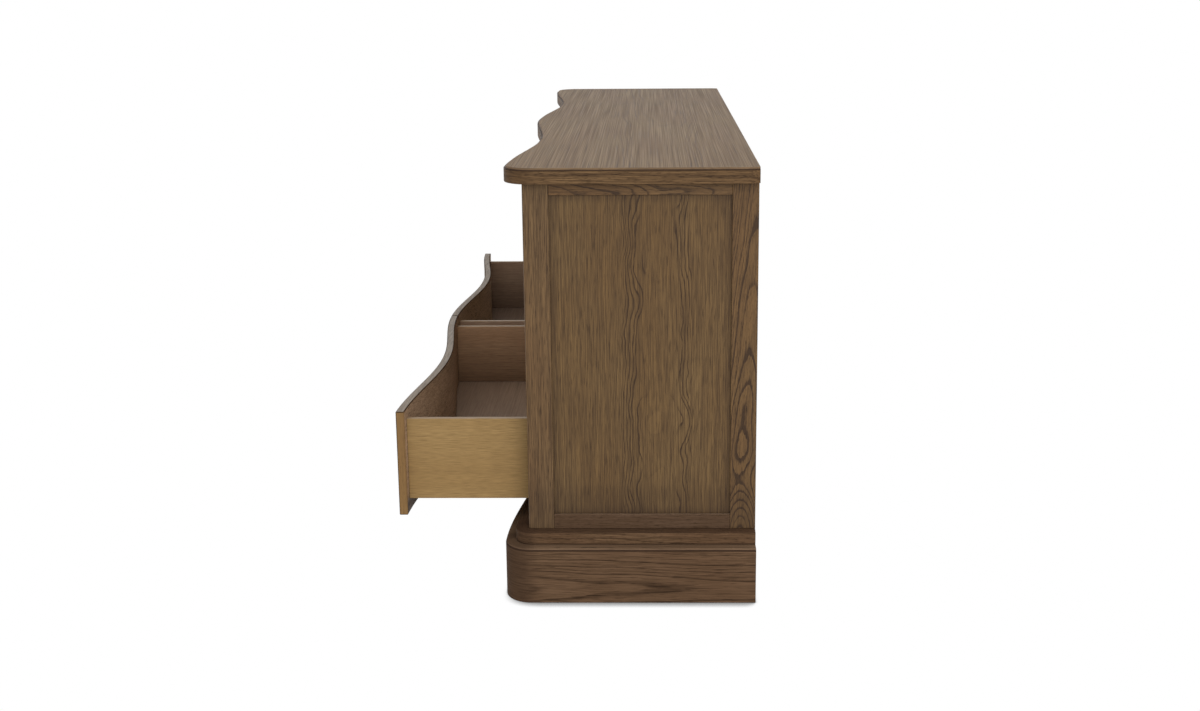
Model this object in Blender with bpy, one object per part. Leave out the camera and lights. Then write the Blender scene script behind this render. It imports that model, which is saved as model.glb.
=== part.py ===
# Six-drawer serpentine dresser in stained oak, metres, +Z up.
# X runs along the length, the drawers open towards -Y, and the origin lies on the
# floor under the middle of the carcase.
import math

import bmesh
import bpy

# Overall sizes
TOP_LENGTH = 1.829
OVERALL_HEIGHT = 0.914
CASE_DEPTH = 0.473

# Top panel, and the thumbnail edge that the top and the plinth share
TOP_THICKNESS = 0.032
TOP_SIDE_OVERHANG = 0.030
TOP_FRONT_OVERHANG = 0.037
CORNER_RADIUS = 0.056
EDGE_ROUND = 0.0045
TOP_EDGE_QUIRK = 0.003
PLINTH_EDGE_QUIRK = 0.001
TOP_UNDERSIDE_BEVEL = 0.0015

# Serpentine front, measured back from the front face of the posts
TROUGH_SETBACK = 0.040
CENTRE_SETBACK = 0.0045

# Posts and framed sides
POST_WIDTH = 0.050
POST_DEPTH = 0.053
POST_EDGE_RADIUS = 0.005
SIDE_RAIL_THICKNESS = 0.022
SIDE_TOP_RAIL_HEIGHT = 0.026
SIDE_BOTTOM_RAIL_HEIGHT = 0.0315
PANEL_RECESS = 0.006
PANEL_THICKNESS = 0.009
PANEL_TONGUE = 0.008
FRONT_RAIL_HEIGHT = 0.0245
BACK_PANEL_THICKNESS = 0.008
PARTITION_THICKNESS = 0.018

# Web frames that carry the drawers
FRAME_THICKNESS = 0.036
FRAME_RAIL_WIDTH = 0.055
RUNNER_MARGIN = 0.020
RAIL_CLEARANCE = 0.0015

# Drawers
ROWS = ("lower", "middle", "upper")
COLUMNS = (("left", -1), ("right", 1))
DRAWER_GAP = 0.003
BOTTOM_REVEAL = 0.0085
FRONT_THICKNESS = 0.018
BOX_INSET = 0.021
BOX_ABOVE_FRONT_BOTTOM = 0.0295
BOX_BELOW_FRONT_TOP = 0.0215
BOX_BACK_CLEARANCE = 0.0347
BOX_WALL = 0.012
DRAWER_BOTTOM_THICKNESS = 0.009
DRAWER_BOTTOM_RAISE = 0.0175
GROOVE_DEPTH = 0.005
LOWER_DRAWER_OPENING = 0.281

# Bar pulls
PULL_SPACING = 0.160
PULL_RADIUS = 0.005
PULL_PROJECTION = 0.030
PULL_BEND = 0.012
PULL_SEAT_GAP = 0.0006

# Base
PLINTH_HEIGHT = 0.120
PLINTH_THICKNESS = 0.034
PLINTH_BACK_THICKNESS = 0.025
PLINTH_SIDE_PROJECTION = 0.036
PLINTH_FRONT_PROJECTION = 0.051
MOULDING_HEIGHT = 0.030
MOULDING_SIDE_PROJECTION = 0.014
MOULDING_FRONT_PROJECTION = 0.029
MOULDING_CHAMFER_DROP = 0.0045
MOULDING_BEARING = 0.045
MOULDING_INNER_RADIUS = 0.004
CENTRE_FOOT_WIDTH = 0.060

# Gap between pieces that touch, and the facets on curved stretches
JOINT_GAP = 0.0003
WAVE_STEPS = 64
FRONT_STEPS = 32
CORNER_STEPS = 10
EDGE_STEPS = 4
POST_EDGE_STEPS = 4
BEND_STEPS = 6
PULL_RING_STEPS = 2

# Places worked out from the sizes above
CASE_HALF = TOP_LENGTH / 2 - TOP_SIDE_OVERHANG
FRONT_Y = -CASE_DEPTH / 2
BACK_Y = CASE_DEPTH / 2
BACK_INSIDE_Y = BACK_Y - BACK_PANEL_THICKNESS - JOINT_GAP
POST_INSIDE_X = CASE_HALF - POST_WIDTH
BETWEEN_POSTS_X = POST_INSIDE_X - JOINT_GAP
CASE_BOTTOM = PLINTH_HEIGHT + MOULDING_HEIGHT + JOINT_GAP
CASE_TOP = OVERALL_HEIGHT - TOP_THICKNESS - JOINT_GAP
PLINTH_HALF = CASE_HALF + PLINTH_SIDE_PROJECTION
PLINTH_JOINT_Y = FRONT_Y + POST_DEPTH
FRONT_START_X = DRAWER_GAP / 2
FRONT_END_X = POST_INSIDE_X - DRAWER_GAP
DRAWER_CENTRE_X = (FRONT_START_X + FRONT_END_X) / 2
WAVE_PEAK_X = CASE_HALF - POST_WIDTH / 2
LOWEST_FRONT_Z = CASE_BOTTOM + BOTTOM_REVEAL
ROW_PITCH = (CASE_TOP - FRONT_RAIL_HEIGHT - LOWEST_FRONT_Z) / len(ROWS)
FRONT_HEIGHT = ROW_PITCH - DRAWER_GAP
BOX_DEPTH = BACK_INSIDE_Y - FRONT_Y - BOX_BACK_CLEARANCE
FRAME_FRONT_SETBACK = FRONT_THICKNESS + RAIL_CLEARANCE
FRAME_TOP_ABOVE_ROW = BOX_ABOVE_FRONT_BOTTOM - JOINT_GAP
RUNNER_INNER_EDGE = BOX_INSET + BOX_WALL + RUNNER_MARGIN


def row_z(row):
    return LOWEST_FRONT_Z + row * ROW_PITCH


# Depth of the serpentine behind the posts' front face: a peak at the middle and at
# each post, and a trough at the middle of each drawer
def setback(x):
    distance = min(abs(x), WAVE_PEAK_X)
    if distance < DRAWER_CENTRE_X:
        rise = (1 - math.cos(math.pi * distance / DRAWER_CENTRE_X)) / 2
        return CENTRE_SETBACK + (TROUGH_SETBACK - CENTRE_SETBACK) * rise
    run = (distance - DRAWER_CENTRE_X) / (WAVE_PEAK_X - DRAWER_CENTRE_X)
    return TROUGH_SETBACK * (1 + math.cos(math.pi * run)) / 2


# Points along the serpentine, moved forward by a projection
def wave_line(x_start, x_end, projection, steps):
    points = []
    for i in range(steps + 1):
        x = x_start + (x_end - x_start) * i / steps
        points.append((x, FRONT_Y + setback(x) - projection))
    return points


def arc(centre, radius, start, end, steps):
    points = []
    for i in range(steps + 1):
        angle = start + (end - start) * i / steps
        x = centre[0] + radius * math.cos(angle)
        y = centre[1] + radius * math.sin(angle)
        points.append((x, y))
    return points


# Plan line of a moulded board: down the left side from end_y, round the left corner,
# along the serpentine, round the right corner and back up the right side
def plan_line(half, projection, radius, end_y):
    bend_x = half - radius
    front = wave_line(-bend_x, bend_x, projection, WAVE_STEPS)
    centre_y = front[0][1] + radius
    left = arc((-bend_x, centre_y), radius, math.pi, 1.5 * math.pi, CORNER_STEPS)
    right = arc((bend_x, centre_y), radius, 1.5 * math.pi, 2 * math.pi, CORNER_STEPS)
    return [(-half, end_y)] + left[:-1] + front + right[1:] + [(half, end_y)]


# Inset and height of the thumbnail edge, from the foot of its quirk to the flat
def thumbnail(top_z, quirk):
    points = [(0.0, top_z - EDGE_ROUND)]
    for i in range(EDGE_STEPS + 1):
        angle = math.pi / 2 * i / EDGE_STEPS
        inset = quirk + EDGE_ROUND * (1 - math.cos(angle))
        points.append((inset, top_z - EDGE_ROUND * (1 - math.sin(angle))))
    return points


def make_material(name, colour, roughness, metallic=0.0):
    material = bpy.data.materials.new(name)
    material.use_nodes = True
    shader = material.node_tree.nodes["Principled BSDF"]
    shader.inputs["Base Color"].default_value = (*colour, 1.0)
    shader.inputs["Roughness"].default_value = roughness
    shader.inputs["Metallic"].default_value = metallic
    return material


def make_collection(name):
    collection = bpy.data.collections.new(name)
    bpy.context.scene.collection.children.link(collection)
    return collection


def finish_mesh(name, bm, material, parent):
    bmesh.ops.recalc_face_normals(bm, faces=bm.faces)
    mesh = bpy.data.meshes.new(name)
    bm.to_mesh(mesh)
    bm.free()
    mesh.materials.append(material)
    piece = bpy.data.objects.new(name, mesh)
    parts.objects.link(piece)
    piece.parent = parent
    return piece


# Upright board from a plan outline
def prism(name, outline, bottom, top, material, parent=None):
    bm = bmesh.new()
    base = bm.faces.new([bm.verts.new((x, y, bottom)) for x, y in outline])
    raised = bmesh.ops.extrude_face_region(bm, geom=[base])["geom"]
    top_verts = [item for item in raised if isinstance(item, bmesh.types.BMVert)]
    bmesh.ops.translate(bm, verts=top_verts, vec=(0, 0, top - bottom))
    return finish_mesh(name, bm, material, parent)


# Solid through closed sections that have the same number of points
def loft(name, sections, material, parent=None):
    bm = bmesh.new()
    loops = [[bm.verts.new(point) for point in section] for section in sections]
    for first, second in zip(loops, loops[1:]):
        for i in range(len(first)):
            following = (i + 1) % len(first)
            bm.faces.new((first[i], first[following], second[following], second[i]))
    bm.faces.new(loops[0])
    bm.faces.new(loops[-1])
    return finish_mesh(name, bm, material, parent)


# Block between two corners, with its origin at its middle
def block(name, low, high, material, parent=None):
    bm = bmesh.new()
    bmesh.ops.create_cube(bm, size=1.0)
    size = [abs(b - a) for a, b in zip(low, high)]
    bmesh.ops.scale(bm, vec=size, verts=bm.verts)
    piece = finish_mesh(name, bm, material, parent)
    piece.location = [(a + b) / 2 for a, b in zip(low, high)]
    return piece


def block_cutter(name, low, high, parent=None):
    cutter = block(name, low, high, cutter_material, parent)
    parts.objects.unlink(cutter)
    cutters.objects.link(cutter)
    cutter.hide_render = True
    cutter.display_type = "WIRE"
    return cutter


def cut(piece, cutter):
    modifier = piece.modifiers.new("Cut " + cutter.name, "BOOLEAN")
    modifier.operation = "DIFFERENCE"
    modifier.object = cutter


def build_top():
    edge = thumbnail(OVERALL_HEIGHT, TOP_EDGE_QUIRK)
    underside = OVERALL_HEIGHT - TOP_THICKNESS
    profile = [(TOP_UNDERSIDE_BEVEL, underside), (0.0, underside + TOP_UNDERSIDE_BEVEL)]
    sections = []
    for inset, z in profile + edge:
        half = TOP_LENGTH / 2 - inset
        line = plan_line(half, TOP_FRONT_OVERHANG - inset, CORNER_RADIUS - inset, BACK_Y)
        sections.append([(x, y, z) for x, y in line])
    loft("top_panel", sections, oak_top)


def build_side(side, sign):
    panel_out = CASE_HALF - PANEL_RECESS
    panel_in = panel_out - PANEL_THICKNESS
    rail_in = CASE_HALF - SIDE_RAIL_THICKNESS
    bay_front = FRONT_Y + POST_DEPTH
    bay_back = BACK_Y - POST_DEPTH
    bay_bottom = CASE_BOTTOM + SIDE_BOTTOM_RAIL_HEIGHT
    bay_top = CASE_TOP - SIDE_TOP_RAIL_HEIGHT
    tongue = PANEL_TONGUE - JOINT_GAP

    radius = POST_EDGE_RADIUS
    edge_centre = (CASE_HALF - radius, FRONT_Y + radius)
    outline = [(POST_INSIDE_X, bay_front), (POST_INSIDE_X, FRONT_Y)]
    outline += arc(edge_centre, radius, -math.pi / 2, 0.0, POST_EDGE_STEPS)
    outline += [(CASE_HALF, bay_front)]
    outline = [(sign * x, y) for x, y in outline]
    front_post = prism(side + "_front_post", outline, CASE_BOTTOM, CASE_TOP, oak)
    back_post = block(
        side + "_back_post",
        (sign * POST_INSIDE_X, bay_back, CASE_BOTTOM),
        (sign * CASE_HALF, BACK_Y, CASE_TOP),
        oak,
    )
    top_rail = block(
        side + "_side_top_rail",
        (sign * rail_in, bay_front + JOINT_GAP, bay_top),
        (sign * CASE_HALF, bay_back - JOINT_GAP, CASE_TOP),
        oak,
    )
    bottom_rail = block(
        side + "_side_bottom_rail",
        (sign * rail_in, bay_front + JOINT_GAP, CASE_BOTTOM),
        (sign * CASE_HALF, bay_back - JOINT_GAP, bay_bottom),
        oak,
    )
    block(
        side + "_side_panel",
        (sign * panel_in, bay_front - tongue, bay_bottom - tongue),
        (sign * panel_out, bay_back + tongue, bay_top + tongue),
        oak,
    )
    groove = block_cutter(
        side + "_panel_groove",
        (
            sign * (panel_in - JOINT_GAP),
            bay_front - PANEL_TONGUE,
            bay_bottom - PANEL_TONGUE,
        ),
        (
            sign * (panel_out + JOINT_GAP),
            bay_back + PANEL_TONGUE,
            bay_top + PANEL_TONGUE,
        ),
    )
    for piece in (front_post, back_post, top_rail, bottom_rail):
        cut(piece, groove)


def build_front_rail():
    reach = BETWEEN_POSTS_X
    outer = wave_line(-reach, reach, 0.0, WAVE_STEPS)
    inner = wave_line(reach, -reach, -FRONT_THICKNESS, WAVE_STEPS)
    bottom = CASE_TOP - FRONT_RAIL_HEIGHT
    prism("front_top_rail", outer + inner, bottom, CASE_TOP, oak)


def frame_heights(row):
    top = row_z(row) + FRAME_TOP_ABOVE_ROW
    bottom = CASE_BOTTOM if row == 0 else top - FRAME_THICKNESS
    return bottom, top


def partition_reach():
    front = FRONT_Y + setback(0.0) + FRAME_FRONT_SETBACK
    return front, (front + BACK_INSIDE_Y) / 2


def build_web_frames():
    reach = BETWEEN_POSTS_X
    window_inner = FRONT_START_X + RUNNER_INNER_EDGE
    window_outer = FRONT_END_X - RUNNER_INNER_EDGE
    window_front = FRONT_Y + TROUGH_SETBACK + FRAME_FRONT_SETBACK + FRAME_RAIL_WIDTH
    window_back = BACK_INSIDE_Y - FRAME_RAIL_WIDTH
    slot_half = PARTITION_THICKNESS / 2 + JOINT_GAP
    lap_y = partition_reach()[1] - JOINT_GAP
    for row, row_name in enumerate(ROWS):
        bottom, top = frame_heights(row)
        cut_bottom = bottom - FRAME_THICKNESS
        cut_top = top + FRAME_THICKNESS
        front = wave_line(-reach, reach, -FRAME_FRONT_SETBACK, WAVE_STEPS)
        outline = front + [(reach, BACK_INSIDE_Y), (-reach, BACK_INSIDE_Y)]
        frame = prism(row_name + "_web_frame", outline, bottom, top, drawer_wood)
        for column, sign in COLUMNS:
            window = block_cutter(
                f"{row_name}_{column}_window",
                (sign * window_inner, window_front, cut_bottom),
                (sign * window_outer, window_back, cut_top),
            )
            cut(frame, window)
        if row > 0:
            slot = block_cutter(
                row_name + "_partition_slot",
                (-slot_half, lap_y, cut_bottom),
                (slot_half, BACK_Y, cut_top),
            )
            cut(frame, slot)


def build_partition():
    front, lap_y = partition_reach()
    half = PARTITION_THICKNESS / 2
    partition = block(
        "centre_partition",
        (-half, front, frame_heights(0)[1] + JOINT_GAP),
        (half, BACK_INSIDE_Y, CASE_TOP),
        drawer_wood,
    )
    for row in range(1, len(ROWS)):
        bottom, top = frame_heights(row)
        lap = block_cutter(
            ROWS[row] + "_partition_lap",
            (-PARTITION_THICKNESS, front - PARTITION_THICKNESS, bottom - JOINT_GAP),
            (PARTITION_THICKNESS, lap_y, top + JOINT_GAP),
        )
        cut(partition, lap)


def build_back():
    block(
        "back_panel",
        (-BETWEEN_POSTS_X, BACK_Y - BACK_PANEL_THICKNESS, CASE_BOTTOM),
        (BETWEEN_POSTS_X, BACK_Y, CASE_TOP),
        plywood,
    )


def build_moulding():
    bottom = PLINTH_HEIGHT + JOINT_GAP
    top = PLINTH_HEIGHT + MOULDING_HEIGHT
    outer_half = CASE_HALF + MOULDING_SIDE_PROJECTION
    outer_radius = CORNER_RADIUS - PLINTH_SIDE_PROJECTION + MOULDING_SIDE_PROJECTION
    outer = plan_line(outer_half, MOULDING_FRONT_PROJECTION, outer_radius, BACK_Y)
    shoulder = plan_line(CASE_HALF, 0.0, POST_EDGE_RADIUS, BACK_Y)
    inner_half = CASE_HALF - MOULDING_BEARING
    inner = plan_line(inner_half, -MOULDING_BEARING, MOULDING_INNER_RADIUS, BACK_Y)
    lines = (
        (outer, bottom),
        (outer, top - MOULDING_CHAMFER_DROP),
        (shoulder, top),
        (inner, top),
        (inner, bottom),
    )
    sections = []
    for i in range(len(outer)):
        sections.append([(*line[i], z) for line, z in lines])
    loft("base_moulding", sections, oak)


# Plinth section as insets from its outer face, counted round the board
def plinth_profile():
    edge = thumbnail(PLINTH_HEIGHT, PLINTH_EDGE_QUIRK)
    back = [(PLINTH_THICKNESS, PLINTH_HEIGHT), (PLINTH_THICKNESS, 0.0)]
    return [(0.0, 0.0)] + edge + back


def build_plinth():
    lines = []
    for inset, z in plinth_profile():
        half = PLINTH_HALF - inset
        projection = PLINTH_FRONT_PROJECTION - inset
        line = plan_line(half, projection, CORNER_RADIUS - inset, PLINTH_JOINT_Y)
        lines.append((line, z))
    sections = []
    for i in range(len(lines[0][0])):
        sections.append([(*line[i], z) for line, z in lines])
    loft("plinth_front", sections, oak)

    for side, sign in COLUMNS:
        sections = []
        for y in (PLINTH_JOINT_Y + JOINT_GAP, BACK_Y):
            section = [(sign * (PLINTH_HALF - inset), y, z) for inset, z in plinth_profile()]
            sections.append(section)
        loft("plinth_" + side, sections, oak)

    # The back board rises between the ends of the moulding and closes the base up to the case
    inside = PLINTH_HALF - PLINTH_THICKNESS - JOINT_GAP
    between = CASE_HALF - MOULDING_BEARING - JOINT_GAP
    base_top = CASE_BOTTOM - JOINT_GAP
    right_half = [
        (inside, 0.0), (inside, PLINTH_HEIGHT), (between, PLINTH_HEIGHT), (between, base_top),
    ]
    left_half = [(-x, z) for x, z in reversed(right_half)]
    sections = []
    for y in (BACK_Y - PLINTH_BACK_THICKNESS, BACK_Y):
        sections.append([(x, y, z) for x, z in right_half + left_half])
    loft("plinth_back", sections, oak)

    half = CENTRE_FOOT_WIDTH / 2
    block("centre_foot", (-half, -half, 0.0), (half, half, base_top), drawer_wood)


# Bar pull with round bends, seated on the front at both ends
def build_pull(name, ends, bar_y, z, parent):
    (left_x, left_y), (right_x, right_y) = ends
    turn_y = bar_y + PULL_BEND
    left_turn = arc((left_x + PULL_BEND, turn_y), PULL_BEND, math.pi, 1.5 * math.pi, BEND_STEPS)
    right_turn = arc(
        (right_x - PULL_BEND, turn_y), PULL_BEND, 1.5 * math.pi, 2 * math.pi, BEND_STEPS
    )
    route = [(left_x, left_y)] + left_turn + right_turn + [(right_x, right_y)]
    curve = bpy.data.curves.new(name, "CURVE")
    curve.dimensions = "3D"
    curve.bevel_depth = PULL_RADIUS
    curve.bevel_resolution = PULL_RING_STEPS
    curve.use_fill_caps = True
    spline = curve.splines.new("POLY")
    spline.points.add(len(route) - 1)
    for point, (x, y) in zip(spline.points, route):
        point.co = (x, y, 0.0, 1.0)
    curve.materials.append(bronze)
    pull = bpy.data.objects.new(name, curve)
    parts.objects.link(pull)
    pull.parent = parent
    pull.location.z = z


# Each drawer hangs from an empty on its slide, at the middle of its front's lower edge
# in the plane of the posts' front face
def build_drawer(row, row_name, column, sign):
    name = f"{row_name}_{column}_drawer"
    opening = LOWER_DRAWER_OPENING if row == 0 else 0.0
    centre_x = sign * DRAWER_CENTRE_X
    slide = bpy.data.objects.new(name + "_slide", None)
    parts.objects.link(slide)
    slide.location = (centre_x, FRONT_Y - opening, row_z(row))

    def face(x):
        return setback(centre_x + x)

    half = (FRONT_END_X - FRONT_START_X) / 2
    steps = [-half + 2 * half * i / FRONT_STEPS for i in range(FRONT_STEPS + 1)]
    outer = [(x, face(x)) for x in steps]
    inner = [(x, face(x) + FRONT_THICKNESS) for x in reversed(steps)]
    prism(name + "_front", outer + inner, 0.0, FRONT_HEIGHT, oak, slide)

    box_bottom = BOX_ABOVE_FRONT_BOTTOM
    box_top = FRONT_HEIGHT - BOX_BELOW_FRONT_TOP
    box_half = half - BOX_INSET
    inside = box_half - BOX_WALL
    panel_bottom = box_bottom + DRAWER_BOTTOM_RAISE
    panel_top = panel_bottom + DRAWER_BOTTOM_THICKNESS
    panel_half = inside + GROOVE_DEPTH - JOINT_GAP
    groove = block_cutter(
        name + "_groove",
        (-inside - GROOVE_DEPTH, 0.0, panel_bottom - JOINT_GAP),
        (inside + GROOVE_DEPTH, BOX_DEPTH + BOX_WALL, panel_top + JOINT_GAP),
        slide,
    )
    behind_front = FRONT_THICKNESS + JOINT_GAP
    for wall, wall_sign in COLUMNS:
        near, far = wall_sign * box_half, wall_sign * inside
        outline = [
            (near, face(near) + behind_front),
            (far, face(far) + behind_front),
            (far, BOX_DEPTH),
            (near, BOX_DEPTH),
        ]
        board = prism(f"{name}_{wall}_side", outline, box_bottom, box_top, drawer_wood, slide)
        cut(board, groove)

    front_edge = []
    for i in range(FRONT_STEPS + 1):
        x = -panel_half + 2 * panel_half * i / FRONT_STEPS
        front_edge.append((x, face(x) + behind_front))
    outline = front_edge + [(panel_half, BOX_DEPTH), (-panel_half, BOX_DEPTH)]
    prism(name + "_bottom", outline, panel_bottom, panel_top, drawer_wood, slide)
    block(
        name + "_back",
        (-inside + JOINT_GAP, BOX_DEPTH - BOX_WALL, panel_top + JOINT_GAP),
        (inside - JOINT_GAP, BOX_DEPTH, box_top),
        drawer_wood,
        slide,
    )

    reach = PULL_SPACING / 2
    ends = [(x, face(x) - PULL_SEAT_GAP) for x in (-reach, reach)]
    bar_y = TROUGH_SETBACK - PULL_PROJECTION
    build_pull(name + "_pull", ends, bar_y, FRONT_HEIGHT / 2, slide)


for old in list(bpy.data.objects):
    bpy.data.objects.remove(old, do_unlink=True)
parts = make_collection("dresser")
cutters = make_collection("dresser_cutters")
oak = make_material("stained_oak", (0.095, 0.058, 0.036), 0.55)
oak_top = make_material("stained_oak_top", (0.150, 0.105, 0.075), 0.5)
drawer_wood = make_material("drawer_wood", (0.250, 0.165, 0.090), 0.6)
plywood = make_material("back_plywood", (0.120, 0.080, 0.050), 0.7)
bronze = make_material("aged_bronze", (0.090, 0.065, 0.045), 0.4, 1.0)
cutter_material = make_material("cutter", (0.8, 0.1, 0.1), 0.9)

build_top()
for side, sign in COLUMNS:
    build_side(side, sign)
build_front_rail()
build_web_frames()
build_partition()
build_back()
build_moulding()
build_plinth()
for row, row_name in enumerate(ROWS):
    for column, sign in COLUMNS:
        build_drawer(row, row_name, column, sign)
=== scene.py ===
import math

import bpy
from mathutils import Matrix, Vector


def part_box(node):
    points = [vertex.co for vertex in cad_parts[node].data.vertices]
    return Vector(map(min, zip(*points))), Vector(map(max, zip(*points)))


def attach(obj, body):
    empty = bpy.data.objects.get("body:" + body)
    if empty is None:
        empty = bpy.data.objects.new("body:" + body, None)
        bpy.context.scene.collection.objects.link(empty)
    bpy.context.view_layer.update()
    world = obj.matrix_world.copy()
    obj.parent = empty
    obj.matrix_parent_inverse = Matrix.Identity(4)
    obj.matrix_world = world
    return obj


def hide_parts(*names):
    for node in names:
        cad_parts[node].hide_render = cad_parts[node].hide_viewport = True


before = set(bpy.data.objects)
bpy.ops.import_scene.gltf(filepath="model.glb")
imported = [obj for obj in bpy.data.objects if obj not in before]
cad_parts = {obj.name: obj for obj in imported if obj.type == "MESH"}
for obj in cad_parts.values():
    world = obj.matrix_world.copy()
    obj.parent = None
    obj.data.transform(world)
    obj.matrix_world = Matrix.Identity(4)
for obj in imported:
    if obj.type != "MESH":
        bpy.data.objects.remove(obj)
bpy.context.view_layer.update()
rowNames = ("lower", "middle", "upper")
columnNames = ("left", "right")
print("frame loaded:", len(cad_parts), "nodes")

# Camera, at the right end of the dresser and looking a little down
cameraLook = {
    "place": (3.6436, 0.0181, 1.3009),
    "yaw": -1.0001,
    "down": 12.0,
    "roll": -0.4150,
    "lens": 42.1335,
    "sensor": 36.0,
    "shiftSide": -0.0214,
    "shiftUp": -0.0757,
}


def setCamera(look):
    yaw, down, roll = (math.radians(look[key]) for key in ("yaw", "down", "roll"))
    level = Vector((-math.cos(yaw), math.sin(yaw), 0.0))
    sideways = Vector((math.sin(yaw), math.cos(yaw), 0.0))
    upright = Vector((0.0, 0.0, 1.0))
    ahead = level * math.cos(down) - upright * math.sin(down)
    above = level * math.sin(down) + upright * math.cos(down)
    right = sideways * math.cos(roll) + above * math.sin(roll)
    up = above * math.cos(roll) - sideways * math.sin(roll)
    bpy.ops.object.camera_add()
    camera = bpy.context.object
    turn = Matrix((right, up, -ahead)).transposed().to_4x4()
    camera.matrix_world = Matrix.Translation(look["place"]) @ turn
    camera.data.lens = look["lens"]
    camera.data.sensor_width = look["sensor"]
    camera.data.shift_x = look["shiftSide"]
    camera.data.shift_y = look["shiftUp"]
    bpy.context.scene.camera = camera


setCamera(cameraLook)
print("camera set")


# sRGB hex to the linear colour that a shader takes
def linear(hexText):
    parts = [int(hexText[i:i + 2], 16) / 255 for i in (1, 3, 5)]
    return [c / 12.92 if c <= 0.04045 else ((c + 0.055) / 1.055) ** 2.4 for c in parts] + [1.0]


# Adds a node with its settings, input values and links
def addNode(tree, kind, values=None, links=None, **settings):
    node = tree.nodes.new("ShaderNode" + kind)
    for key, value in settings.items():
        setattr(node, key, value)
    for key, value in (values or {}).items():
        node.inputs[key].default_value = value
    for key, socket in (links or {}).items():
        tree.links.new(socket, node.inputs[key])
    return node


# Oak, plain sawn, its pores filled with a brown glaze, lacquered satin. The eye gets growth
# rings cut lengthways as long flames, short dark pores and a soft gloss at low angles.
# Lengths are in metres. Real pores are 0.3 mm wide: fibres and pores are drawn 1.1 to 2.2 mm
# wide, so that they show at the size of the render.
oak = {
    "grain": "Z",
    "follow": False,           # True where the grain runs round the outline of the piece
    "pith": (0.0, 0.0, 0.0),   # a point on the heart of the log
    "lean": 0.0,               # turn of the log about X, for a heart that slants across a post
    "ringGap": 0.006,
    "ringJitter": 0.0022,
    "jitterScale": (130.0, 130.0, 11.0),    # waves in a metre, the last along the grain
    # (place, darkness) from the start of a ring to the next
    "ringProfile": ((0.05, 1.0), (0.17, 0.85), (0.29, 0.25), (0.46, 0.0)),
    "yearWave": 2.6,           # rings from one wide year to the next
    "yearSpread": 1.6,         # how unevenly wide the rings are
    "yearFaint": 0.35,         # how dark the faintest ring is
    "taper": 0.012,            # the log narrows, which closes the flames into arches
    "wander": 0.010,           # how far the heart strays
    "wanderLength": 0.32,
    "wanderWidth": 0.09,
    "bulges": (),              # (across, along, half width, half length, depth) of swollen spots
    "lineBands": (),           # (place, half width, gain) across the board of bolder lines
    "lineGain": 1.0,           # above 1 the lines also widen
    "lineStrength": 0.80,
    "lineBreak": 0.3,          # how far pores break a line up
    "fibreStrength": 0.75,
    "poreStrength": 0.80,
    "streakStrength": 0.22,
    "fibre": (0.0013, 0.050),  # (width, length), as for pores and streaks
    "pore": (0.0017, 0.013),
    "streak": (0.006, 0.22),
    "stainScale": (9.0, 9.0, 2.6),          # patches in a metre
    "light": "#785e3f",
    "warm": "#705437",
    "line": "#38291d",
    "fibreDark": "#443323",
    "poreDark": "#2e2117",
    "roughness": (0.42, 0.54),
    "bump": 0.25,
    "poreDepth": 0.0004,
    "specular": 0.14,
    "cornerSpan": (),          # (place, half length, painted shade) of a plain corner block, darkened with painted shade
    "cornerCalm": 0.85,        # how far lines fade on it
    "rubHeights": (),          # (height, half width, strength) of a painted highlight along an arris
    "glazeHeights": (),        # (height, half width, strength) of painted shade along a height: in a quirk, under the top, near the floor, at a lip
    "glazeEdges": (),          # (axis, low, high, width, strength) of painted shade along the edges of a recess
    "deepShade": 0.0,          # painted shade at the foot of a box board, none at its top
    # colours of the painted shade and the painted highlight
    "glaze": "#2e2018",
    "rubbed": "#8f7b66",
}
grainTurns = {"X": (0.0, math.pi / 2, 0.0), "Y": (-math.pi / 2, 0.0, 0.0), "Z": (0.0, 0.0, 0.0)}


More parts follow.
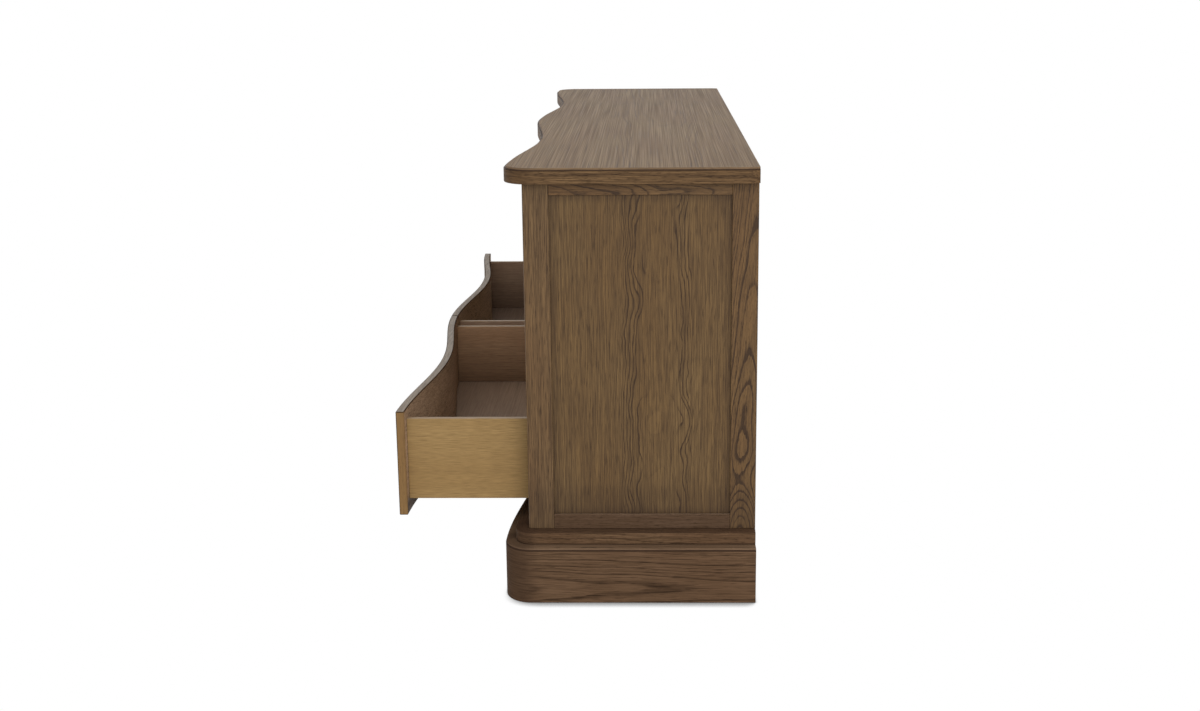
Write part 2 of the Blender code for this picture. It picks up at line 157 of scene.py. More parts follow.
def sawnWood(name, **changes):
    look = {**oak, **changes}
    material = bpy.data.materials.new(name)
    material.use_nodes = True
    tree = material.node_tree
    tree.nodes.clear()
    if look["follow"]:
        place = addNode(tree, "Attribute", attribute_name="grainPoint").outputs["Vector"]
    else:
        place = addNode(tree, "TexCoord").outputs["Object"]
    turnX, turnY, turnZ = grainTurns[look["grain"]]
    turned = addNode(
        tree, "Mapping",
        {"Location": look["pith"], "Rotation": (turnX + look["lean"], turnY, turnZ)},
        {"Vector": place}, vector_type="TEXTURE",
    ).outputs["Vector"]

    # Slow wander of the log, which bends the rings into flames
    wide, long = 1 / look["wanderWidth"], 1 / look["wanderLength"]
    slow = addNode(tree, "VectorMath", {1: (wide, wide, long)}, {0: turned}, operation="MULTIPLY")
    drift = addNode(
        tree, "TexNoise", {"Scale": 1.0, "Detail": 2.0, "Roughness": 0.45},
        {"Vector": slow.outputs[0]},
    )
    centred = addNode(
        tree, "VectorMath", {1: (0.5, 0.5, 0.5)}, {0: drift.outputs["Color"]}, operation="SUBTRACT",
    )
    reach = look["wander"] * 2
    moved = addNode(
        tree, "VectorMath", {1: (reach, reach, 0.0)},
        {0: centred.outputs[0], 2: turned}, operation="MULTIPLY_ADD",
    ).outputs[0]
    parts = addNode(tree, "SeparateXYZ", None, {0: moved})

    # Fine noises stretched along the grain: fibres, pores and broad streaks
    noises = {}
    for layer, source in (("fibre", turned), ("pore", turned), ("streak", moved)):
        across, along = look[layer]
        drawn = addNode(
            tree, "VectorMath", {1: (1 / across, 1 / across, 1 / along)}, {0: source},
            operation="MULTIPLY",
        )
        noises[layer] = addNode(
            tree, "TexNoise", {"Scale": 1.0, "Detail": 1.0, "Roughness": 0.5},
            {"Vector": drawn.outputs[0]},
        ).outputs["Fac"]
    ranges = {
        "fibre": ("fibre", 0.35, 0.65), "pore": ("pore", 0.55, 0.66),
        "streak": ("streak", 0.35, 0.65), "fleck": ("pore", 0.38, 0.60),
    }
    masks = {}
    for mask, (layer, start, end) in ranges.items():
        masks[mask] = addNode(
            tree, "MapRange", {1: start, 2: end, 3: 0.0, 4: 1.0}, {0: noises[layer]},
        ).outputs[0]

    # Rings round the heart, each with a thin dark start that fades, broken by pores
    flat = addNode(tree, "VectorMath", {1: (1.0, 1.0, 0.0)}, {0: moved}, operation="MULTIPLY")
    radius = addNode(tree, "VectorMath", None, {0: flat.outputs[0]}, operation="LENGTH")
    cone = addNode(
        tree, "Math", {1: look["taper"]},
        {0: parts.outputs["Z"], 2: radius.outputs["Value"]}, operation="MULTIPLY_ADD",
    )
    for across, along, halfWidth, halfLength, depth in look["bulges"]:
        away = addNode(
            tree, "VectorMath", {1: (0.0, across, along)}, {0: moved}, operation="SUBTRACT",
        )
        scaled = addNode(
            tree, "VectorMath", {1: (0.0, 1 / halfWidth, 1 / halfLength)}, {0: away.outputs[0]},
            operation="MULTIPLY",
        )
        gap = addNode(tree, "VectorMath", None, {0: scaled.outputs[0]}, operation="LENGTH")
        swell = addNode(
            tree, "MapRange", {1: 0.0, 2: 1.0, 3: depth, 4: 0.0}, {0: gap.outputs["Value"]},
            interpolation_type="SMOOTHSTEP",
        )
        cone = addNode(
            tree, "Math", None, {0: cone.outputs[0], 1: swell.outputs[0]}, operation="ADD",
        )
    rough = addNode(
        tree, "VectorMath", {1: look["jitterScale"]}, {0: moved}, operation="MULTIPLY",
    )
    ripple = addNode(
        tree, "TexNoise", {"Scale": 1.0, "Detail": 3.0, "Roughness": 0.6},
        {"Vector": rough.outputs[0]},
    )
    shaken = addNode(
        tree, "Math", {1: look["ringJitter"]},
        {0: ripple.outputs["Fac"], 2: cone.outputs[0]}, operation="MULTIPLY_ADD",
    )
    years = addNode(
        tree, "TexNoise", {"Scale": 1 / (look["ringGap"] * look["yearWave"]), "Detail": 1.0},
        {"W": shaken.outputs[0]}, noise_dimensions="1D",
    )
    grown = addNode(
        tree, "Math", {1: look["ringGap"] * look["yearSpread"]},
        {0: years.outputs["Fac"], 2: shaken.outputs[0]}, operation="MULTIPLY_ADD",
    )
    count = addNode(
        tree, "Math", {1: 1 / look["ringGap"]}, {0: grown.outputs[0]}, operation="MULTIPLY",
    )
    phase = addNode(tree, "Math", None, {0: count.outputs[0]}, operation="FRACT")
    year = addNode(tree, "Math", None, {0: count.outputs[0]}, operation="FLOOR")
    chance = addNode(tree, "TexWhiteNoise", None, {"W": year.outputs[0]}, noise_dimensions="1D")
    yearDark = addNode(
        tree, "MapRange", {1: 0.0, 2: 1.0, 3: look["yearFaint"], 4: 1.0},
        {0: chance.outputs["Value"]},
    )
    ring = addNode(tree, "ValToRGB", None, {"Fac": phase.outputs[0]})
    stops = ring.color_ramp.elements
    stops[0].position, stops[0].color = 0.0, (0, 0, 0, 1)
    stops[1].position, stops[1].color = 1.0, (0, 0, 0, 1)
    for position, value in look["ringProfile"]:
        stop = stops.new(position)
        stop.color = (value, value, value, 1)
    broken = addNode(
        tree, "Math", {1: look["lineBreak"], 2: 1 - look["lineBreak"]}, {0: masks["fleck"]},
        operation="MULTIPLY_ADD",
    )
    drawn = addNode(
        tree, "Math", None, {0: ring.outputs["Color"], 1: yearDark.outputs[0]},
        operation="MULTIPLY",
    )
    line = addNode(
        tree, "Math", None, {0: drawn.outputs[0], 1: broken.outputs[0]}, operation="MULTIPLY",
    ).outputs[0]
    bold = None
    for middle, half, gain in look["lineBands"]:
        away = addNode(tree, "Math", {1: middle}, {0: parts.outputs["Y"]}, operation="SUBTRACT")
        gap = addNode(tree, "Math", None, {0: away.outputs[0]}, operation="ABSOLUTE")
        window = addNode(
            tree, "MapRange", {1: half * 0.4, 2: half, 3: gain, 4: look["lineGain"]},
            {0: gap.outputs[0]}, interpolation_type="SMOOTHSTEP",
        ).outputs[0]
        if bold:
            window = addNode(
                tree, "Math", None, {0: bold, 1: window}, operation="MAXIMUM",
            ).outputs[0]
        bold = window
    line = addNode(
        tree, "Math", {1: look["lineGain"]}, {0: line, **({1: bold} if bold else {})},
        operation="MULTIPLY", use_clamp=True,
    ).outputs[0]
    corner = None
    if look["cornerSpan"]:
        middle, half, cornerShade = look["cornerSpan"]
        along = addNode(tree, "Math", None, {0: parts.outputs["Z"]}, operation="ABSOLUTE")
        away = addNode(tree, "Math", {1: middle}, {0: along.outputs[0]}, operation="SUBTRACT")
        gap = addNode(tree, "Math", None, {0: away.outputs[0]}, operation="ABSOLUTE")
        corner = addNode(
            tree, "MapRange", {1: half * 0.6, 2: half * 1.3, 3: 1.0, 4: 0.0},
            {0: gap.outputs[0]}, interpolation_type="SMOOTHSTEP",
        ).outputs[0]
        calm = addNode(
            tree, "Math", {1: -look["cornerCalm"], 2: 1.0}, {0: corner}, operation="MULTIPLY_ADD",
        )
        line = addNode(
            tree, "Math", None, {0: line, 1: calm.outputs[0]}, operation="MULTIPLY",
        ).outputs[0]
    gather = addNode(tree, "Math", {1: 0.5, 2: 0.5}, {0: line}, operation="MULTIPLY_ADD")
    pore = addNode(
        tree, "Math", None, {0: masks["pore"], 1: gather.outputs[0]}, operation="MULTIPLY",
    ).outputs[0]

    # Colour: stain that took unevenly, then streaks, fibres, rings and pores
    patch = addNode(
        tree, "VectorMath", {1: look["stainScale"]}, {0: turned}, operation="MULTIPLY",
    )
    uneven = addNode(
        tree, "TexNoise", {"Scale": 1.0, "Detail": 3.0, "Roughness": 0.55},
        {"Vector": patch.outputs[0]},
    )
    stain = addNode(
        tree, "MapRange", {1: 0.36, 2: 0.64, 3: 0.0, 4: 1.0}, {0: uneven.outputs["Fac"]},
    )
    colour = addNode(
        tree, "Mix", {6: linear(look["light"]), 7: linear(look["warm"])},
        {0: stain.outputs[0]}, data_type="RGBA",
    ).outputs[2]
    shades = (
        (masks["streak"], look["streakStrength"], look["fibreDark"]),
        (masks["fibre"], look["fibreStrength"], look["fibreDark"]),
        (line, look["lineStrength"], look["line"]),
        (pore, look["poreStrength"], look["poreDark"]),
    )
    for mask, strength, shade in shades:
        amount = addNode(tree, "Math", {1: strength}, {0: mask}, operation="MULTIPLY")
        colour = addNode(
            tree, "Mix", {7: linear(shade)}, {0: amount.outputs[0], 6: colour}, data_type="RGBA",
        ).outputs[2]

    # Painted highlights along arrises, then painted shade: in quirks, along the edges of a recess,
    # on corner blocks, and at the foot of a box board
    if look["rubHeights"] or look["glazeHeights"] or look["glazeEdges"]:
        spot = addNode(tree, "TexCoord").outputs["Object"]
        axes = addNode(tree, "SeparateXYZ", None, {0: spot})
        paintedLightMasks = []
        bands = [(band, look["rubbed"]) for band in look["rubHeights"]]
        bands += [(band, look["glaze"]) for band in look["glazeHeights"]]
        for (height, half, strength), shade in bands:
            away = addNode(tree, "Math", {1: height}, {0: axes.outputs["Z"]}, operation="SUBTRACT")
            gap = addNode(tree, "Math", None, {0: away.outputs[0]}, operation="ABSOLUTE")
            paintedLightMasks.append((addNode(
                tree, "MapRange", {1: half * 0.5, 2: half, 3: strength, 4: 0.0},
                {0: gap.outputs[0]}, interpolation_type="SMOOTHSTEP",
            ).outputs[0], shade))
        for axis, low, high, width, strength in look["glazeEdges"]:
            away = addNode(
                tree, "Math", {1: (low + high) / 2}, {0: axes.outputs[axis]}, operation="SUBTRACT",
            )
            gap = addNode(tree, "Math", None, {0: away.outputs[0]}, operation="ABSOLUTE")
            half = (high - low) / 2
            paintedLightMasks.append((addNode(
                tree, "MapRange", {1: half - width, 2: half, 3: 0.0, 4: strength},
                {0: gap.outputs[0]}, interpolation_type="SMOOTHSTEP",
            ).outputs[0], look["glaze"]))
        for mask, shade in paintedLightMasks:
            colour = addNode(
                tree, "Mix", {7: linear(shade)}, {0: mask, 6: colour}, data_type="RGBA",
            ).outputs[2]
    # Painted shade on the corner block
    if corner:
        cornerShadeMask = addNode(tree, "Math", {1: cornerShade}, {0: corner}, operation="MULTIPLY")
        colour = addNode(
            tree, "Mix", {7: linear(look["glaze"])}, {0: cornerShadeMask.outputs[0], 6: colour},
            data_type="RGBA",
        ).outputs[2]
    # Painted shade, darkest at the foot of a box board
    if look["deepShade"]:
        rise = addNode(tree, "Attribute", attribute_name="boxRise").outputs["Fac"]
        deep = addNode(
            tree, "MapRange", {1: 0.1, 2: 0.95, 3: look["deepShade"], 4: 0.0}, {0: rise},
        )
        colour = addNode(
            tree, "Mix", {7: linear(look["glaze"])}, {0: deep.outputs[0], 6: colour},
            data_type="RGBA",
        ).outputs[2]

    # Fibres and pores lie a little below the lacquer, and the fibres dull it
    dull = addNode(
        tree, "MapRange", {3: look["roughness"][0], 4: look["roughness"][1]}, {0: masks["fibre"]},
    )
    depth = addNode(tree, "Math", {1: 0.5}, {0: masks["fibre"], 2: pore}, operation="MULTIPLY_ADD")
    relief = addNode(
        tree, "Bump", {"Strength": look["bump"], "Distance": look["poreDepth"]},
        {"Height": depth.outputs[0]}, invert=True,
    )
    shader = addNode(
        tree, "BsdfPrincipled", {"IOR": 1.5, "Specular IOR Level": look["specular"]},
        {"Base Color": colour, "Roughness": dull.outputs[0], "Normal": relief.outputs[0]},
    )
    addNode(tree, "OutputMaterial", None, {"Surface": shader.outputs[0]})
    return material


# Bronze, cast and brown patinated, rubbed brighter where hands reach it
def agedMetal(name, look):
    material = bpy.data.materials.new(name)
    material.use_nodes = True
    tree = material.node_tree
    tree.nodes.clear()
    place = addNode(tree, "TexCoord").outputs["Object"]
    cloud = addNode(
        tree, "TexNoise", {"Scale": 1 / look["patch"], "Detail": 4.0, "Roughness": 0.6},
        {"Vector": place},
    )
    grit = addNode(
        tree, "TexNoise", {"Scale": 1 / look["grit"], "Detail": 2.0}, {"Vector": place},
    )
    rubbed = addNode(
        tree, "MapRange", {1: 0.42, 2: 0.66, 3: 0.0, 4: 1.0}, {0: cloud.outputs["Fac"]},
    )
    colour = addNode(
        tree, "Mix", {6: linear(look["dark"]), 7: linear(look["bright"])},
        {0: rubbed.outputs[0]}, data_type="RGBA",
    )
    dull = addNode(
        tree, "MapRange", {3: look["roughness"][1], 4: look["roughness"][0]},
        {0: rubbed.outputs[0]},
    )
    relief = addNode(
        tree, "Bump", {"Strength": 0.2, "Distance": 0.0002}, {"Height": grit.outputs["Fac"]},
    )
    shader = addNode(
        tree, "BsdfPrincipled", {"Metallic": 1.0},
        {
            "Base Color": colour.outputs[2], "Roughness": dull.outputs[0],
            "Normal": relief.outputs[0],
        },
    )
    addNode(tree, "OutputMaterial", None, {"Surface": shader.outputs[0]})
    return material


# One board, one cut of oak: the heart of the log lies elsewhere in each
topVeneer = sawnWood(
    "topVeneerOak", grain="X", pith=(0.0, 0.043, 0.80), ringGap=0.0065, wander=0.016,
    wanderLength=0.55, wanderWidth=0.12, lineBands=((-0.072, 0.03, 3.0), (0.072, 0.025, 2.6)),
    lineGain=0.6, fibre=(0.0017, 0.50), pore=(0.0019, 0.25), streak=(0.005, 0.8),
    fibreStrength=0.65, streakStrength=0.08, specular=0.10, light="#725b39", warm="#6c5232",
    line="#513a22",    # the gloss greys the lines, so they start warmer
)
# Edge of the top: painted shade on its round corner and in the quirk, a painted highlight along the
# top arris
slabEdge = sawnWood(
    "slabEdgeOak", grain="X", follow=True, pith=(0.0, -0.11, 0.80), ringGap=0.0045,
    wander=0.006, wanderLength=0.20, wanderWidth=0.05, specular=0.05, light="#755c40",
    warm="#6d5338", cornerSpan=(0.9025, 0.046, 0.25), rubHeights=((0.9130, 0.0035, 0.20),),
    glazeHeights=((0.9093, 0.0020, 0.75),),
)
footShade = (0.150, 0.115, 0.30)    # painted shade, darker towards the floor
# Low boards took more stain and less lacquer
lowOak = {"light": "#745b44", "warm": "#6b513c", "specular": 0.03, "roughness": (0.58, 0.7)}
sideWoods = {}
for sideName, sign in (("left", -1), ("right", 1)):
    low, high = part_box(sideName + "_side_bottom_rail")
    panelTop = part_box(sideName + "_side_top_rail")[0].z
    # Painted shade near the floor and along the edges of the recessed panel
    sideWoods[sideName + "_side_panel"] = sawnWood(
        sideName + "PanelVeneerOak", grain="Z", pith=(sign * 0.96, 0.037, 0.0), ringGap=0.0047,
        wander=0.018, wanderLength=0.12, wanderWidth=0.10, lineGain=0.25, lineStrength=0.9,
        fibre=(0.0013, 0.09), pore=(0.0016, 0.035), fibreStrength=0.75, poreStrength=1.0,
        lineBands=((-0.056, 0.026, 3.6), (0.051, 0.018, 2.6)), light="#735b3b", warm="#6b5233",
        bulges=((-0.073, 0.762, 0.03, 0.05, 0.006),), glazeHeights=(footShade,),
        glazeEdges=(("Y", low.y, high.y, 0.022, 0.30), ("Z", high.z, panelTop, 0.022, 0.30)),
    )
    # Painted shade near the floor and under the top
    sideWoods[sideName + "_front_post"] = sawnWood(
        sideName + "PostOak", grain="Z", pith=(sign * 0.95, 0.06, 0.0), ringGap=0.0050,
        wander=0.006, wanderLength=0.35, lineStrength=0.45, light="#765d3f", warm="#6e5337",
        fibre=(0.0013, 0.08), pore=(0.0016, 0.03), poreStrength=1.0,
        glazeHeights=(footShade, (0.90, 0.30, 0.10)),
    )
    # Painted shade near the floor
    sideWoods[sideName + "_back_post"] = sawnWood(
        sideName + "StileOak", grain="Z", pith=(sign * 0.9317, 0.189, 0.0), ringGap=0.0040,
        lean=-0.06, wander=0.006, wanderLength=0.20, wanderWidth=0.08, taper=0.03,
        ringJitter=0.0020, lineStrength=0.9, lineGain=2.4, fibreStrength=0.6,
        light="#725838", warm="#6a4f32",
        bulges=((0.016, 0.12, 0.06, 0.15, -0.016), (0.004, 0.25, 0.09, 0.08, 0.0055)),
        glazeHeights=(footShade,),
    )
    sideWoods[sideName + "_side_top_rail"] = sawnWood(
        sideName + "TopRailOak", grain="Y", pith=(sign * 0.915, 0.0, 0.860), ringGap=0.0046,
        wander=0.010, wanderLength=0.12, wanderWidth=0.06, taper=0.08, lineStrength=0.9,
        lineGain=1.4, fibreStrength=0.6, light="#755a3b", warm="#6d5134",
    )
    sideWoods[sideName + "_side_bottom_rail"] = sawnWood(
        sideName + "BottomRailOak", grain="Y", pith=(sign * 1.00, 0.0, 0.05), ringGap=0.006,
        wander=0.006, wanderLength=0.25, lineStrength=0.4,
        **{**lowOak, "light": "#5d493a", "warm": "#564132"},
    )
# The rail's upward face is painted paler: a painted highlight
railTopHighlight = sawnWood(
    "railTopHighlightOak", grain="Y", pith=(0.0, 0.0, 0.05), lineStrength=0.3,
    **{**lowOak, "light": "#7a6452", "warm": "#725c4a", "specular": 0.15},
)
# Painted shade on the round corner, in the band under the case and in the quirk at its foot
mouldingOak = sawnWood(
    "mouldingOak", grain="X", follow=True, pith=(0.0, -0.09, 0.10), ringGap=0.0045,
    wander=0.005, wanderLength=0.25, cornerSpan=(0.880, 0.045, 0.50),
    glazeHeights=((0.1478, 0.0040, 0.56), (0.1205, 0.0022, 0.85)), **lowOak,
)
# Painted shade on the round corner and in the quirk at the top, with a painted highlight on the
# arris above it
plinthOak = sawnWood(
    "plinthOak", grain="X", follow=True, pith=(0.0, -0.045, 0.030), ringGap=0.0056,
    wander=0.009, wanderLength=0.34, wanderWidth=0.09, taper=0.022, ringJitter=0.0013,
    yearSpread=2.0, lineStrength=0.70, lineGain=1.7, yearFaint=0.30, fibreStrength=0.50,
    streakStrength=0.12, fibre=(0.0013, 0.06), pore=(0.0017, 0.03),
    cornerSpan=(0.895, 0.062, 0.50), rubHeights=((0.1185, 0.0030, 0.14),),
    glazeHeights=((0.1153, 0.0022, 0.85),), **{**lowOak, "light": "#6b533f", "warm": "#624a37"},
)
plinthBackOak = sawnWood("plinthBackOak", grain="X", pith=(0.0, 0.4, 0.3), **lowOak)
# Fronts and front rail: each row has its own leaf of veneer, with long flames along it
frontVeneers = {
    rowName: sawnWood(
        rowName + "FrontOak", grain="X", pith=(0.0, heartY, heartZ), ringGap=0.007, wander=0.016,
        wanderLength=0.80, wanderWidth=0.10, taper=0.03, lineStrength=0.75, lineGain=1.2,
        fibre=(0.0015, 0.06),
    )
    for rowName, heartY, heartZ in (
        ("lower", -0.62, 0.295), ("middle", -0.34, 0.485), ("upper", -0.35, 0.765),
    )
}
# The lacquer lies thicker and glossier on the rounded top edge of a front, and its greyed colour is
# a painted sheen
frontEdges = {
    columnName: sawnWood(
        columnName + "FrontEdgeOak", grain="X", pith=(0.0, -0.42, 0.45), wander=0.016,
        wanderLength=0.40, light="#7d6d58", warm="#746450", lineStrength=0.4, fibreStrength=0.5,
        specular=specular, roughness=(0.36, 0.46),
    )
    for columnName, specular in (("left", 0.22), ("right", 0.42))
}
# Inside, a front is painted paler as painted light, the left a little less; its lip below the box
# gets painted shade
insideWoods = {}
insideLitTones = {"left": ("#bb9c7c", "#ad8d6c"), "right": ("#c0a082", "#b09072")}
lipLook = {"reach": 1.6, "glaze": 0.85}    # reach of the painted shade in heights of the lip
for rowName in rowNames:
    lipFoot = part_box(rowName + "_left_drawer_front")[0].z
    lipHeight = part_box(rowName + "_left_drawer_left_side")[0].z - lipFoot
    for columnName, (light, warm) in insideLitTones.items():
        insideWoods[rowName, columnName] = sawnWood(
            rowName + columnName.capitalize() + "FrontInsideOak", grain="X", pith=(0.0, -0.9, 0.3),
            ringGap=0.008, wander=0.012, lineStrength=0.08, fibreStrength=0.35, light=light,
            warm=warm, roughness=(0.5, 0.6), specular=0.08,
            glazeHeights=((lipFoot, lipHeight * lipLook["reach"], lipLook["glaze"]),),
        )
frontEnd = sawnWood(
    "drawerFrontEndOak", grain="Z", pith=(1.2, -0.7, 0.0), ringGap=0.004, wander=0.004,
    lineStrength=0.25, fibreStrength=0.45, poreStrength=0.4, light="#8c6e45", warm="#80623d",
    line="#5c452d", fibreDark="#664d31", poreDark="#4f3a27", specular=0.10,
)
# Arrises are painted dark as outlines: painted shade
frontArrisShade = sawnWood(
    "drawerFrontArrisOak", grain="X", pith=(0.0, -0.42, 0.45), light="#3f3126", warm="#382b21",
    lineStrength=0.2, fibreStrength=0.4, specular=0.0, roughness=(0.6, 0.7),
)
# Birch drawer stock, rotary cut: oiled pale tan outside with fine even lines; inside, a paler copy
# stands in for light, painted light with painted shade at the foot
birch = {
    "ringGap": 0.0065, "ringJitter": 0.001, "lineStrength": 0.20, "fibreStrength": 0.70,
    "poreStrength": 0.40, "wander": 0.006, "wanderLength": 0.6, "fibre": (0.0011, 0.032),
    "pore": (0.0013, 0.018), "streak": (0.004, 0.30),
    "light": "#a08356", "warm": "#987a4e", "line": "#785d3f", "fibreDark": "#7c633e",
    "poreDark": "#6b5238", "roughness": (0.5, 0.6), "bump": 0.12, "specular": 0.12,
}
paintedLightInside = {
    **birch, "light": "#bb9674", "warm": "#ab8564", "line": "#6e5541", "fibreDark": "#7d624a",
    "poreDark": "#5d4939", "fibreStrength": 0.5, "deepShade": 0.58,
}
sideCut = {"grain": "Y", "pith": (0.2, 0.0, 1.6)}
backCut = {"grain": "X", "pith": (0.0, 0.6, 1.6)}
drawerSideWood = sawnWood("drawerSideBirch", **{**birch, **sideCut})
# The left drawer's insides are painted darker than the right's: painted shade
sideInsides = {
    "left": sawnWood("leftSideInsidePaintedLight", **{
        **paintedLightInside, **sideCut, "light": "#a58a73", "warm": "#967a64", "fibreDark": "#6f5947",
    }),
    "right": sawnWood("rightSideInsidePaintedLight", **{**paintedLightInside, **sideCut}),
}
# Top edges of the box boards: glossier, their colour greyed as a painted sheen
boxEdge = sawnWood("drawerEdgeBirch", **{
    **birch, **sideCut, "light": "#8e7a65", "warm": "#836f5a", "specular": 0.22,
    "roughness": (0.36, 0.46),
})
drawerBackWood = sawnWood("drawerBackBirch", **{**birch, **backCut})
backInside = sawnWood("drawerBackStained", **{**paintedLightInside, **backCut})
# The left drawer's bottom is painted darker than the right's: painted shade
bottomWoods = {
    columnName: sawnWood(columnName + "DrawerBottomBirch", **{
        **paintedLightInside, "grain": "X", "pith": (0.0, 0.9, 2.2), "light": light, "warm": warm,
        "fibreDark": fibreDark, "fibre": (0.0022, 0.10), "pore": (0.002, 0.05),
        "fibreStrength": 0.3, "deepShade": 0.0,
    })
    for columnName, light, warm, fibreDark in (
        ("left", "#69574a", "#604f41", "#534439"), ("right", "#846e5b", "#786352", "#685546"),
    )
}
frameWood = sawnWood("webFrameBirch", **{**birch, "grain": "X", "pith": (0.0, 1.3, 0.4)})
uprightWood = sawnWood("partitionBirch", **{**birch, "grain": "Z", "pith": (0.4, 1.1, 0.0)})
# Plywood, rotary cut and stained, with a broad figure and a dull face
backPly = sawnWood(
    "backPlywood", grain="X", pith=(0.0, 0.9, 0.5), ringGap=0.012, wander=0.02,
    wanderLength=0.5, wanderWidth=0.12, lineStrength=0.45, light="#6d563e", warm="#634c36",
    roughness=(0.6, 0.7), fibre=(0.0018, 0.06),
)
bronze = agedMetal("agedBronze", {
    "patch": 0.018, "grit": 0.0009, "dark": "#3d3026", "bright": "#6e5538",
    "roughness": (0.30, 0.45),
})
print("materials made:", len(bpy.data.materials))


# Tools for shaping a piece by hand
touching = 1e-5      # points this near, in metres, lie on the same plane
smoothAngle = 35     # faces that meet at less than this are shaded as one


def clearSelection():
    bpy.ops.object.select_all(action="DESELECT")


# side_top_rail becomes SideTopRail
def joinWords(name):
    return "".join(word.capitalize() for word in name.split("_"))


def pick(piece):
    clearSelection()
    piece.select_set(True)
    bpy.context.view_layer.objects.active = piece


def chooseFaces(piece, test):
    for face in piece.data.polygons:
        face.select = test(face)
    for edge in piece.data.edges:
        edge.select = False
    for vertex in piece.data.vertices:
        vertex.select = False


# Selects the edges whose ends pass a test, in edit mode and left there
def chooseEdges(piece, test):
    bpy.ops.mesh.select_mode(type="EDGE")
    bpy.ops.mesh.select_all(action="DESELECT")
    bpy.ops.object.mode_set(mode="OBJECT")
    for edge in piece.data.edges:
        edge.select = test([piece.data.vertices[i].co for i in edge.vertices])
    bpy.ops.object.mode_set(mode="EDIT")


def smoothPiece(piece, angle=smoothAngle):
    pick(piece)
    bpy.ops.object.shade_smooth_by_angle(angle=math.radians(angle))
    even = piece.modifiers.new("evenNormals", "WEIGHTED_NORMAL")
    even.keep_sharp = True
    bpy.ops.object.modifier_apply(modifier=even.name)


# Depth of the serpentine behind the posts: peaks at the middle and the posts, a trough at
# the middle of each drawer
waveLook = {"middle": 0.0045, "trough": 0.040, "troughX": 0.4165, "peakX": 0.8595}


def setback(x):
    away = min(abs(x), waveLook["peakX"])
    if away < waveLook["troughX"]:
        rise = (1 - math.cos(math.pi * away / waveLook["troughX"])) / 2
        return waveLook["middle"] + (waveLook["trough"] - waveLook["middle"]) * rise
    run = (away - waveLook["troughX"]) / (waveLook["peakX"] - waveLook["troughX"])
    return waveLook["trough"] * (1 + math.cos(math.pi * run)) / 2


# Writes how far each point lies along a round-cornered outline, so that grain runs round it
def followOutline(piece, half, radius, frontY):
    bendX, bendY = half - radius, frontY + radius
    quarter = radius * math.pi / 2
    points = piece.data.attributes.new("grainPoint", "FLOAT_VECTOR", "POINT")
    for vertex, point in zip(piece.data.vertices, points.data):
        x, y, z = vertex.co
        side = math.copysign(1.0, x)
        if abs(x) <= bendX:
            point.vector = (x, y - frontY - setback(x), z)
        elif y >= bendY:
            point.vector = (side * (bendX + quarter + y - bendY), half - abs(x), z)
        else:
            turn = math.atan2(abs(x) - bendX, bendY - y)
            inset = radius - math.hypot(abs(x) - bendX, bendY - y)
            point.vector = (side * (bendX + radius * turn), inset, z)


# The top: a board with round front corners and a serpentine front, run round with a
# thumbnail edge that stops at the square back
topLook = {
    "cornerRadius": 0.056, "cornerCuts": 20, "frontCuts": 240, "underBevel": 0.0015,
    "underCuts": 3, "round": 0.0045, "quirk": 0.003, "roundSteps": 6,
    "spare": 0.03,          # cut off again at the square back
    "broadFace": 0.1,       # square metres: larger flat faces are veneered
    "flatFace": 0.999,      # cosine past which a face counts as flat
}


